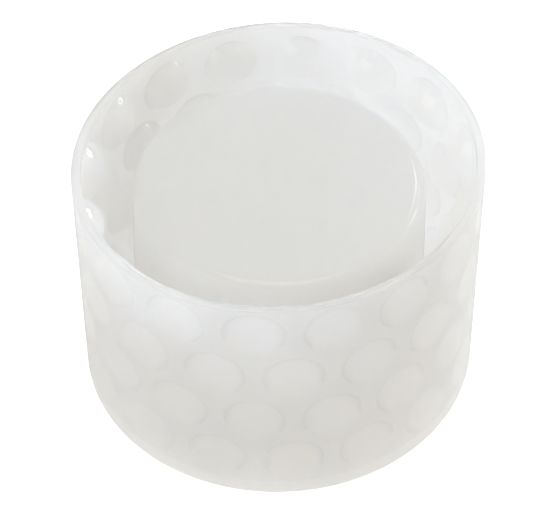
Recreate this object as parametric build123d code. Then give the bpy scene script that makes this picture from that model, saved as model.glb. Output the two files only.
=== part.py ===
from build123d import *
import os
from math import radians, tan

# Two-part silicone mould for casting a round vessel with dimpled sides.
#
# The mould stands open end up. The casting is poured into the ring-shaped space between the outer
# mould's wall and the core, and over the top of the core, so the vessel is cast upside down: the layer
# above the core becomes its floor. Domes on the inside of the wall press the dimples into the casting.
#
# Pieces:
#   outer_mould  thin round wall with staggered rows of domes, a floor with a seat groove for the core,
#                and a hollow locating boss in the middle of the floor
#   core         hollow plug, closed at the top, that forms the inside of the vessel; its skirt stands in
#                the seat groove and fits over the boss, and it lifts straight out
#
# Millimetres, +Z up. The origin is the centre of the underside, where the mould stands.

# Outer mould
OUTSIDE_D = 100.0
HEIGHT = 67.0
RIM_WALL = 2.2  # wall thickness at the rim
WALL_DRAFT = 0.4  # degrees on the inside only; the wall thickens towards the floor
FLOOR = 3.2
RIM_EDGE_R = 0.5
FOOT_EDGE_R = 1.0

# Domes on the inside of the wall
DOMES_IN_ROW = 16
DOME_ROWS = 4
TOP_ROW_BELOW_RIM = 10.0
DOME_ROW_PITCH = 15.3
DOME_D = 14.6  # where a dome meets the wall
DOME_HEIGHT = 4.5  # how far it stands out of the wall
DOME_EMBED = 1.2  # how deep a dome's solid runs into the wall it grows from

# Core
CORE_TOP_D = 71.6  # across the sides, before the top edge is rounded
CORE_BELOW_RIM = 7.6
CORE_DRAFT = 1.2  # degrees, wider towards the foot
CORE_EDGE_R = 3.0
CORE_WALL = 3.6
CORE_TOP_WALL = 5.0
CORE_INSIDE_EDGE_R = 3.0

# Seat of the core in the floor
SEAT_DEPTH = 1.0
FIT_CLEARANCE = 0.06  # radial, between the core's skirt and the seat or the boss
BOSS_HEIGHT = 9.0  # above the floor
BOSS_WALL = 3.0
BOSS_EDGE_R = 1.5
LEAD_IN = 0.5  # chamfer on the core's foot

outside_r = OUTSIDE_D / 2
rim_inside_r = outside_r - RIM_WALL
seat_z = FLOOR - SEAT_DEPTH
core_top_z = HEIGHT - CORE_BELOW_RIM
boss_top_z = FLOOR + BOSS_HEIGHT


def wall_inside_r(z):
    """Radius of the wall's inner face at a height."""
    return rim_inside_r - (HEIGHT - z) * tan(radians(WALL_DRAFT))


def core_outside_r(z):
    """Radius of the core's side at a height."""
    return CORE_TOP_D / 2 + (core_top_z - z) * tan(radians(CORE_DRAFT))


def core_inside_r(z):
    """Radius of the core's hollow at a height."""
    return core_outside_r(z) - CORE_WALL


def turned(outline, rounded):
    """The solid swept round Z by an (r, z) outline, with the corners listed in rounded as (r, z, radius)."""
    face = make_face(Plane.XZ * Polyline(*outline, close=True))
    for r, z, radius in rounded:
        corner = face.vertices().sort_by_distance(Vector(r, 0, z))[0]
        face = fillet(corner, radius)
    return revolve(face, Axis.Z)


def outer_shell():
    """The wall, floor and boss, without the domes."""
    groove_outside_r = core_outside_r(seat_z) + FIT_CLEARANCE
    boss_foot_r = core_inside_r(seat_z) - FIT_CLEARANCE
    boss_top_r = core_inside_r(boss_top_z) - FIT_CLEARANCE
    recess_foot_r = boss_foot_r - BOSS_WALL
    recess_top_r = boss_top_r - BOSS_WALL
    recess_top_z = boss_top_z - BOSS_WALL
    outline = [
        (recess_foot_r, 0),
        (outside_r, 0),
        (outside_r, HEIGHT),
        (rim_inside_r, HEIGHT),
        (wall_inside_r(FLOOR), FLOOR),
        (groove_outside_r, FLOOR),
        (groove_outside_r, seat_z),
        (boss_foot_r, seat_z),
        (boss_top_r, boss_top_z),
        (0, boss_top_z),
        (0, recess_top_z),
        (recess_top_r, recess_top_z),
    ]
    rounded = [
        (recess_foot_r, 0, FOOT_EDGE_R),
        (outside_r, 0, FOOT_EDGE_R),
        (outside_r, HEIGHT, RIM_EDGE_R),
        (rim_inside_r, HEIGHT, RIM_EDGE_R),
        (boss_top_r, boss_top_z, BOSS_EDGE_R),
        (recess_top_r, recess_top_z, BOSS_EDGE_R),
    ]
    return turned(outline, rounded)


def dome_places():
    """(angle in degrees, height) of each dome's centre; each row is turned half a pitch from the next."""
    pitch = 360 / DOMES_IN_ROW
    for row in range(DOME_ROWS):
        z = HEIGHT - TOP_ROW_BELOW_RIM - row * DOME_ROW_PITCH
        for i in range(DOMES_IN_ROW):
            yield (i + (row % 2) / 2) * pitch, z


def domes():
    """Every dome as the part of a ball that stands inside the wall, rooted a little way into it."""
    ball_r = ((DOME_D / 2) ** 2 + DOME_HEIGHT**2) / (2 * DOME_HEIGHT)
    balls = []
    for angle, z in dome_places():
        centre_r = wall_inside_r(z) - DOME_HEIGHT + ball_r
        balls.append(Rot(0, 0, angle) * Pos(centre_r, 0, z) * Rot(0, 90, 0) * Sphere(ball_r))
    rooted = Cylinder(rim_inside_r + DOME_EMBED, HEIGHT, align=(Align.CENTER, Align.CENTER, Align.MIN))
    return [ball & rooted for ball in balls]


def make_outer_mould():
    return outer_shell() + domes()


def make_core():
    """The hollow core, with a chamfered foot that finds its way into the seat."""
    inside_top_z = core_top_z - CORE_TOP_WALL
    outline = [
        (core_inside_r(seat_z), seat_z),
        (core_outside_r(seat_z) - LEAD_IN, seat_z),
        (core_outside_r(seat_z + LEAD_IN), seat_z + LEAD_IN),
        (core_outside_r(core_top_z), core_top_z),
        (0, core_top_z),
        (0, inside_top_z),
        (core_inside_r(inside_top_z), inside_top_z),
    ]
    rounded = [
        (core_outside_r(core_top_z), core_top_z, CORE_EDGE_R),
        (core_inside_r(inside_top_z), inside_top_z, CORE_INSIDE_EDGE_R),
    ]
    return turned(outline, rounded)


os.makedirs("parts", exist_ok=True)
export_step(make_outer_mould(), "parts/outer_mould.step")
export_step(make_core(), "parts/core.step")
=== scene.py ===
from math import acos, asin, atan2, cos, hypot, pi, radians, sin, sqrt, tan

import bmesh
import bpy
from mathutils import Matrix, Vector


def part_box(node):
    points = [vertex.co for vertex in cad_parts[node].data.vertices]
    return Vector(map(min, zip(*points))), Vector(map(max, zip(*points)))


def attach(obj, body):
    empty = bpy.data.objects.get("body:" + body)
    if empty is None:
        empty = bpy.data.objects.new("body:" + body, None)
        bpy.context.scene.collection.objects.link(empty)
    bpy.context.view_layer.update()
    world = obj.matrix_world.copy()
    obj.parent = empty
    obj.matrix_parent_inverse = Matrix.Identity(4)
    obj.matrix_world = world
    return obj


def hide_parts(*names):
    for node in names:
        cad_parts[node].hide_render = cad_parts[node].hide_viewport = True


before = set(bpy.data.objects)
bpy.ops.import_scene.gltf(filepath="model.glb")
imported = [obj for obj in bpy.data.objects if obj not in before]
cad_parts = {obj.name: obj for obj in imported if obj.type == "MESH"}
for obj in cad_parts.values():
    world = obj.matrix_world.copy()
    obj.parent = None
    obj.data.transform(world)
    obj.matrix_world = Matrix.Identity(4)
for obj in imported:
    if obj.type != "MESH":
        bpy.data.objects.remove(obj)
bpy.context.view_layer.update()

# Looks of the silicone casting mould: the outer mould and the core are rebuilt as fine, even meshes with
# filleted domes. Both are milky silicone, glossy inside the outer mould and on the core, and satin
# elsewhere. Shapes are worked out in millimetres, and finished() turns them into metres.

MM = 0.001


# ---------------------------------------------------------------- sizes, mm
outer_high = Vector(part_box("outer_mould")[1]) / MM
core_low, core_high = (Vector(corner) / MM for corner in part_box("core"))

OUTSIDE_R = outer_high.x
HEIGHT = outer_high.z
RIM_WALL = 2.2
WALL_DRAFT = radians(0.4)
FLOOR = 3.2
RIM_EDGE_R = 0.5
FOOT_EDGE_R = 1.0
FLOOR_EDGE_R = 0.2

DOMES_IN_ROW = 16
DOME_ROWS = 4
TOP_ROW_Z = HEIGHT - 10.0
DOME_ROW_PITCH = 15.3
DOME_R = 7.3
DOME_HEIGHT = 4.5
DOME_FOOT_R = 0.4  # fillet where a dome meets the wall

CORE_TOP_Z = core_high.z
CORE_FOOT_Z = core_low.z
CORE_DRAFT = radians(1.2)
CORE_EDGE_R = 3.0
CORE_WALL = 3.6
CORE_TOP_WALL = 5.0
CORE_INSIDE_EDGE_R = 3.0
LEAD_IN = 0.5

FIT_CLEARANCE = 0.06
BOSS_TOP_Z = FLOOR + 9.0
BOSS_WALL = 3.0
BOSS_EDGE_R = 1.5

# The soft wall is a little out of round: most at the rim, least at the foot.
OVAL_RIM = 0.0225
OVAL_FOOT = 0.006
OVAL_LONG_AXIS = radians(52)
OVAL_FROM_R = 39.0  # the floor takes up the ovality from here out to OVAL_TO_R
OVAL_TO_R = OUTSIDE_R - RIM_WALL - 1.0

# Mesh
CELL_STEPS = 12  # along each side of a dome's cell
SEGMENTS = DOMES_IN_ROW * CELL_STEPS
CAP_STEPS = 9
FILLET_STEPS = 4
CELL_SPREAD = (0.15, 0.5, 1.0)  # rings from a dome's foot out to the edge of its cell
EDGE_STEPS = 6
HOLD = 0.12  # distance of the support ring beside a rounded edge
ON_AXIS = 1e-6  # a radius under this is a point on the axis
WELD = 1e-4  # vertices nearer than this are one
SHARP_ANGLE = radians(38)

SATIN, GLOSS = 1.0, 0.0  # how frosted a face is, kept with the mesh for its material


def wall_inside_r(z):
    return OUTSIDE_R - RIM_WALL - (HEIGHT - z) * tan(WALL_DRAFT)


def core_outside_r(z):
    foot_r = core_high.x + LEAD_IN * tan(CORE_DRAFT)
    return foot_r - (z - CORE_FOOT_Z) * tan(CORE_DRAFT)


def core_inside_r(z):
    return core_outside_r(z) - CORE_WALL


# ---------------------------------------------------------------- mesh code
def rounded_outline(corners):
    """(r, z) points along straight runs, each corner (r, z, radius) turned into an arc."""
    points = []
    for i, (r, z, radius) in enumerate(corners):
        here = Vector((r, z))
        if not radius:
            points.append(here)
            continue
        back = (Vector(corners[i - 1][:2]) - here).normalized()
        on = (Vector(corners[i + 1][:2]) - here).normalized()
        half = acos(max(-1.0, min(1.0, back.dot(on)))) / 2
        centre = here + (back + on).normalized() * radius / sin(half)
        reach = radius / tan(half)
        start, end = here + back * reach - centre, here + on * reach - centre
        turn = start.angle_signed(end)
        first = atan2(start.y, start.x)
        points.append(here + back * (reach + HOLD))
        for step in range(EDGE_STEPS + 1):
            a = first - turn * step / EDGE_STEPS
            points.append(centre + radius * Vector((cos(a), sin(a))))
        points.append(here + on * (reach + HOLD))
    return points


def lathe(mesh, outline, frost):
    """Adds the surface swept round Z by an outline; a point on the axis becomes one vertex."""
    rings = []
    for r, z in outline:
        if r < ON_AXIS:
            rings.append([mesh.verts.new((0, 0, z))] * SEGMENTS)
            continue
        ring = []
        for k in range(SEGMENTS):
            a = 2 * pi * k / SEGMENTS
            ring.append(mesh.verts.new((r * cos(a), r * sin(a), z)))
        rings.append(ring)
    join_rings(mesh, rings, frost)


def join_rings(mesh, rings, frost):
    layer = mesh.faces.layers.float.get("frost") or mesh.faces.layers.float.new("frost")
    for near, far in zip(rings, rings[1:]):
        count = len(near)
        for k in range(count):
            n = (k + 1) % count
            corners = [near[k], near[n], far[n], far[k]]
            face = mesh.faces.new(list(dict.fromkeys(corners)))
            face[layer] = frost
            face.smooth = True


def dome_profile():
    """(distance from the dome's centre, height off the wall), from the apex to the end of the fillet."""
    ball_r = (DOME_R**2 + DOME_HEIGHT**2) / (2 * DOME_HEIGHT)
    sunk = ball_r - DOME_HEIGHT
    foot = sqrt((ball_r + DOME_FOOT_R) ** 2 - (sunk + DOME_FOOT_R) ** 2)
    cap_angle = asin(foot / (ball_r + DOME_FOOT_R))
    profile = []
    for i in range(1, CAP_STEPS + 1):
        a = cap_angle * i / CAP_STEPS
        profile.append((ball_r * sin(a), ball_r * cos(a) - sunk))
    for i in range(1, FILLET_STEPS + 1):
        a = cap_angle * (1 - i / FILLET_STEPS)
        profile.append((foot - DOME_FOOT_R * sin(a), DOME_FOOT_R * (1 - cos(a))))
    return profile


def cell_edge(half_wide, half_high):
    """The cell's outline in order, starting from its top right corner, as many steps on each side."""
    steps = [1 - 2 * i / CELL_STEPS for i in range(CELL_STEPS)]
    top = [(half_wide * s, half_high) for s in steps]
    left = [(-half_wide, half_high * s) for s in steps]
    bottom = [(-half_wide * s, -half_high) for s in steps]
    right = [(half_wide, -half_high * s) for s in steps]
    return top + left + bottom + right


def dome_cell(mesh, angle, z0, profile):
    """A dome and the patch of wall round it, out to the edges that it shares with its neighbours."""

    def vertex(x, y, height):
        z = z0 + y
        a = angle + x / wall_inside_r(z0)
        r = wall_inside_r(z) - height
        return mesh.verts.new((r * cos(a), r * sin(a), z))

    edge = cell_edge(pi / DOMES_IN_ROW * wall_inside_r(z0), DOME_ROW_PITCH / 2)
    count = len(edge)
    directions = [pi / 4 + 2 * pi * k / count for k in range(count)]
    rings = [[vertex(0, 0, DOME_HEIGHT)] * count]
    for s, height in profile:
        rings.append([vertex(s * cos(d), s * sin(d), height) for d in directions])
    foot = profile[-1][0]
    for share in CELL_SPREAD:
        ring = []
        for d, (x, y) in zip(directions, edge):
            start = Vector((foot * cos(d), foot * sin(d)))
            at = start.lerp(Vector((x, y)), share)
            ring.append(vertex(at.x, at.y, 0))
        rings.append(ring)
    join_rings(mesh, rings, GLOSS)


def make_oval(mesh):
    """Pulls the soft wall slightly out of round, and leaves the middle of the floor as it is."""
    for v in mesh.verts:
        r = hypot(v.co.x, v.co.y)
        share = min(max((r - OVAL_FROM_R) / (OVAL_TO_R - OVAL_FROM_R), 0), 1)
        level = OVAL_FOOT + (OVAL_RIM - OVAL_FOOT) * v.co.z / HEIGHT
        stretch = 1 + share * level * cos(2 * (atan2(v.co.y, v.co.x) - OVAL_LONG_AXIS))
        v.co.x *= stretch
        v.co.y *= stretch


def finished(mesh, name):
    """Welds the seams, turns the faces outward, and makes the object in metres."""
    bmesh.ops.remove_doubles(mesh, verts=mesh.verts[:], dist=WELD)
    bmesh.ops.recalc_face_normals(mesh, faces=mesh.faces[:])
    bmesh.ops.scale(mesh, vec=(MM, MM, MM), verts=mesh.verts[:])
    data = bpy.data.meshes.new(name)
    mesh.to_mesh(data)
    mesh.free()
    data.set_sharp_from_angle(angle=SHARP_ANGLE)
    piece = bpy.data.objects.new(name, data)
    bpy.context.scene.collection.objects.link(piece)
    return piece


# ---------------------------------------------------------------- pieces
def outer_mould():
    mesh = bmesh.new()
    profile = dome_profile()
    for row in range(DOME_ROWS):
        z0 = TOP_ROW_Z - row * DOME_ROW_PITCH
        for i in range(DOMES_IN_ROW):
            angle = 2 * pi * (i + (row % 2) / 2) / DOMES_IN_ROW
            dome_cell(mesh, angle, z0, profile)

    domes_top = TOP_ROW_Z + DOME_ROW_PITCH / 2
    domes_bottom = TOP_ROW_Z - (DOME_ROWS - 0.5) * DOME_ROW_PITCH
    rim_inside_r = wall_inside_r(HEIGHT)
    boss_foot_r = core_inside_r(CORE_FOOT_Z) - FIT_CLEARANCE
    boss_top_r = core_inside_r(BOSS_TOP_Z) - FIT_CLEARANCE
    groove_r = core_outside_r(CORE_FOOT_Z) + FIT_CLEARANCE
    recess_z = BOSS_TOP_Z - BOSS_WALL

    lip = rounded_outline([
        (wall_inside_r(domes_top), domes_top, 0),
        (rim_inside_r, HEIGHT, RIM_EDGE_R),
        (OUTSIDE_R, HEIGHT, 0),
    ])
    lathe(mesh, lip[:-1], SATIN)
    outside = rounded_outline([
        (*lip[-2], 0),
        (OUTSIDE_R, HEIGHT, RIM_EDGE_R),
        (OUTSIDE_R, 0, FOOT_EDGE_R),
        (boss_foot_r - BOSS_WALL, 0, FOOT_EDGE_R),
        (boss_top_r - BOSS_WALL, recess_z, BOSS_EDGE_R),
        (0, recess_z, 0),
    ])
    lathe(mesh, outside, SATIN)
    floor = rounded_outline([
        (wall_inside_r(domes_bottom), domes_bottom, 0),
        (wall_inside_r(FLOOR), FLOOR, FLOOR_EDGE_R / 2),
        (groove_r, FLOOR, FLOOR_EDGE_R),
        (groove_r, CORE_FOOT_Z, 0),
        (boss_foot_r, CORE_FOOT_Z, 0),
        (boss_top_r, BOSS_TOP_Z, BOSS_EDGE_R),
        (0, BOSS_TOP_Z, 0),
    ])
    lathe(mesh, floor, GLOSS)
    make_oval(mesh)
    return finished(mesh, "outer_mould_silicone")


def core():
    mesh = bmesh.new()
    inside_z = CORE_TOP_Z - CORE_TOP_WALL
    outside = rounded_outline([
        (core_inside_r(CORE_FOOT_Z), CORE_FOOT_Z, 0),
        (core_outside_r(CORE_FOOT_Z) - LEAD_IN, CORE_FOOT_Z, 0),
        (core_outside_r(CORE_FOOT_Z + LEAD_IN), CORE_FOOT_Z + LEAD_IN, 0),
        (core_outside_r(CORE_TOP_Z), CORE_TOP_Z, CORE_EDGE_R),
        (0, CORE_TOP_Z, 0),
    ])
    lathe(mesh, outside, GLOSS)
    inside = rounded_outline([
        (0, inside_z, 0),
        (core_inside_r(inside_z), inside_z, CORE_INSIDE_EDGE_R),
        (core_inside_r(CORE_FOOT_Z), CORE_FOOT_Z, 0),
    ])
    lathe(mesh, inside, SATIN)
    return finished(mesh, "core_silicone")


# ---------------------------------------------------------------- silicone
IOR = 1.41
CLOUD_SCALE = 38.0
CLOUD_DETAIL = 3.0
CLOUD_ROUGHNESS = 0.5
CLOUD_FADE = (0.35, 0.65)  # the noise levels that the change of tint lies between

WALL_SILICONE = {
    "tints": ((0.97, 0.97, 0.965), (0.99, 0.99, 0.99)),
    "passes": 0.93,
    "scatter": (600, 615, 645),
    "absorb": (0.3, 0.65, 1.5),
    "forward": 0.6,
    "gloss": 0.05,
    "satin": 0.27,
}
CORE_SILICONE = {
    "tints": ((0.965, 0.965, 0.96), (0.99, 0.99, 0.985)),
    "passes": 0.9,
    "scatter": (1000, 1030, 1060),
    "absorb": (0.3, 0.6, 1.2),
    "forward": 0.7,
    "gloss": 0.16,
    "satin": 0.45,
}


def node(tree, kind, **values):
    """A new shader node, with its sockets or else its settings given by name."""
    made = tree.nodes.new(kind)
    for key, value in values.items():
        if key in made.inputs:
            made.inputs[key].default_value = value
        else:
            setattr(made, key, value)
    return made


def silicone(name, tints, passes, scatter, absorb, forward, gloss, satin):
    """Milky silicone: light passes through the surface and scatters inside, blue a little more than red.

    Faint clouds vary the surface between the tints. passes is the share of light that goes through the
    surface, scatter and absorb are per metre for red, green and blue, and forward is how strongly
    scattering keeps light going on. gloss and satin are the roughness of smooth and of frosted faces.
    """
    material = bpy.data.materials.new(name)
    material.use_nodes = True
    tree = material.node_tree
    link = tree.links.new
    skin = tree.nodes["Principled BSDF"]
    where = node(tree, "ShaderNodeTexCoord").outputs["Object"]

    clouds = node(
        tree, "ShaderNodeTexNoise", Scale=CLOUD_SCALE, Detail=CLOUD_DETAIL, Roughness=CLOUD_ROUGHNESS)
    link(where, clouds.inputs["Vector"])
    tint = node(tree, "ShaderNodeValToRGB")
    for stop, position, colour in zip(tint.color_ramp.elements, CLOUD_FADE, tints):
        stop.position = position
        stop.color = (*colour, 1)
    link(clouds.outputs["Fac"], tint.inputs["Fac"])
    link(tint.outputs["Color"], skin.inputs["Base Color"])

    frost = node(tree, "ShaderNodeAttribute", attribute_name="frost")
    rough = node(tree, "ShaderNodeMapRange")
    rough.inputs["To Min"].default_value = gloss
    rough.inputs["To Max"].default_value = satin
    link(frost.outputs["Fac"], rough.inputs["Value"])
    link(rough.outputs["Result"], skin.inputs["Roughness"])

    skin.inputs["IOR"].default_value = IOR
    skin.inputs["Transmission Weight"].default_value = passes
    inside = node(tree, "ShaderNodeVolumeCoefficients")
    inside.inputs["Scatter Coefficients"].default_value = scatter
    inside.inputs["Absorption Coefficients"].default_value = absorb
    inside.inputs["Anisotropy"].default_value = forward
    link(inside.outputs["Volume"], tree.nodes["Material Output"].inputs["Volume"])
    return material


wall = outer_mould()
wall.data.materials.append(silicone("silicone_wall", **WALL_SILICONE))
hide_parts("outer_mould")
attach(wall, "outer_mould")

plug = core()
plug.data.materials.append(silicone("silicone_core", **CORE_SILICONE))
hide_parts("core")
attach(plug, "core")


# ---------------------------------------------------------------- floor, light and camera, m
FLOOR_HALF = 4.0
FLOOR_GREY = (0.4, 0.4, 0.4, 1)
FLOOR_ROUGHNESS = 0.9
FLOOR_SPECULAR = 0.2
FLOOR_GLOW = (1, 0.985, 0.95, 1)
FLOOR_SEEN = 1.0  # how strongly the floor glows to the camera
FLOOR_LIGHT = 0.53  # and to everything else

SKY = (0.58, 0.75, 1.0)
PALE_SKY = (0.78, 0.89, 1.0)
CREAM = (1.0, 0.93, 0.80)
LAMP = (1.0, 0.93, 0.69)
COOL = (0.82, 0.87, 0.98)
WARM = (1.0, 0.84, 0.68)
SURROUNDINGS = (0.309, 0.293, 0.272, 1)
LIT_POINT = Vector((0, 0, 0.04))  # what the lights face

VIEW_AZIMUTH = radians(7)
VIEW_ELEVATION = 46.8
VIEW_DISTANCE = 0.590
LOOK_AT = Vector((0, 0, 0.03175))
LENS = 151.1
SENSOR = 36.0
CLIP_NEAR = 0.01
CLIP_FAR = 20.0


def make_floor():
    """A white floor. It lights the mould less than it shows, or the view through the wall is too bright."""
    h = FLOOR_HALF
    data = bpy.data.meshes.new("floor")
    data.from_pydata([(-h, -h, 0), (h, -h, 0), (h, h, 0), (-h, h, 0)], [], [(0, 1, 2, 3)])
    floor = bpy.data.objects.new("floor", data)
    bpy.context.scene.collection.objects.link(floor)

    material = bpy.data.materials.new("floor_white")
    material.use_nodes = True
    tree = material.node_tree
    skin = tree.nodes["Principled BSDF"]
    skin.inputs["Base Color"].default_value = FLOOR_GREY
    skin.inputs["Roughness"].default_value = FLOOR_ROUGHNESS
    skin.inputs["Specular IOR Level"].default_value = FLOOR_SPECULAR
    skin.inputs["Emission Color"].default_value = FLOOR_GLOW
    seen = node(tree, "ShaderNodeLightPath").outputs["Is Camera Ray"]
    glow = node(tree, "ShaderNodeMapRange")
    glow.inputs["To Min"].default_value = FLOOR_LIGHT
    glow.inputs["To Max"].default_value = FLOOR_SEEN
    tree.links.new(seen, glow.inputs["Value"])
    tree.links.new(glow.outputs["Result"], skin.inputs["Emission Strength"])
    data.materials.append(material)


def aim(thing, place, target):
    thing.location = place
    thing.rotation_euler = (Vector(target) - Vector(place)).to_track_quat("-Z", "Y").to_euler()


def soft_light(name, place, size, power, colour, mirrored=True):
    """A rectangular light, size metres wide and high. If it isn't mirrored, gloss doesn't reflect it."""
    data = bpy.data.lights.new(name, "AREA")
    data.shape = "RECTANGLE"
    data.size, data.size_y = size
    data.energy = power
    data.color = colour
    light = bpy.data.objects.new(name, data)
    bpy.context.scene.collection.objects.link(light)
    light.visible_glossy = mirrored
    aim(light, place, LIT_POINT)


def around(azimuth, elevation, distance):
    """A place seen from the mould: azimuth in degrees from the side that the camera is on, rightward."""
    a, e = radians(azimuth) + VIEW_AZIMUTH, radians(elevation)
    return (distance * sin(a) * cos(e), -distance * cos(a) * cos(e), distance * sin(e))


make_floor()

# The window lights the mould from behind. Its small panes are what the gloss shows: panes a and b as
# points on the domes at the left, and pane c as a thin line on the core's edge.
soft_light("light_window", around(142, 43, 0.9), (0.6, 0.6), 3.7, SKY, mirrored=False)
soft_light("light_pane_a", around(118.5, 29, 0.9), (0.12, 0.24), 1.5, PALE_SKY)
soft_light("light_pane_b", around(133, 25, 0.9), (0.12, 0.12), 0.9, PALE_SKY)
soft_light("light_pane_c", around(155, 43, 0.9), (0.06, 0.15), 0.6, CREAM)
soft_light("light_top", around(0, 90, 1.2), (0.7, 0.7), 3.6, LAMP)
soft_light("light_left", around(-55, 25, 1.3), (1.2, 0.9), 5.9, COOL)
soft_light("light_right", around(90, 25, 1.3), (1.2, 0.9), 3.0, WARM)

world = bpy.data.worlds.new("studio")
bpy.context.scene.world = world
world.use_nodes = True
world.node_tree.nodes["Background"].inputs["Color"].default_value = SURROUNDINGS

camera_data = bpy.data.cameras.new("camera")
camera_data.lens = LENS
camera_data.sensor_width = SENSOR
camera_data.clip_start = CLIP_NEAR
camera_data.clip_end = CLIP_FAR
camera = bpy.data.objects.new("camera", camera_data)
bpy.context.scene.collection.objects.link(camera)
aim(camera, Vector(around(0, VIEW_ELEVATION, VIEW_DISTANCE)) + LOOK_AT, LOOK_AT)
bpy.context.scene.camera = camera

# Light scatters many times in the silicone, so paths are long. Filter Glossy is off, because it takes
# away much of the light that passes through rough surfaces many times.
scene = bpy.context.scene
scene.view_settings.view_transform = "Standard"
scene.cycles.blur_glossy = 0
scene.cycles.max_bounces = 128
scene.cycles.diffuse_bounces = 64
scene.cycles.glossy_bounces = 96
scene.cycles.transmission_bounces = 96
scene.cycles.volume_bounces = 128
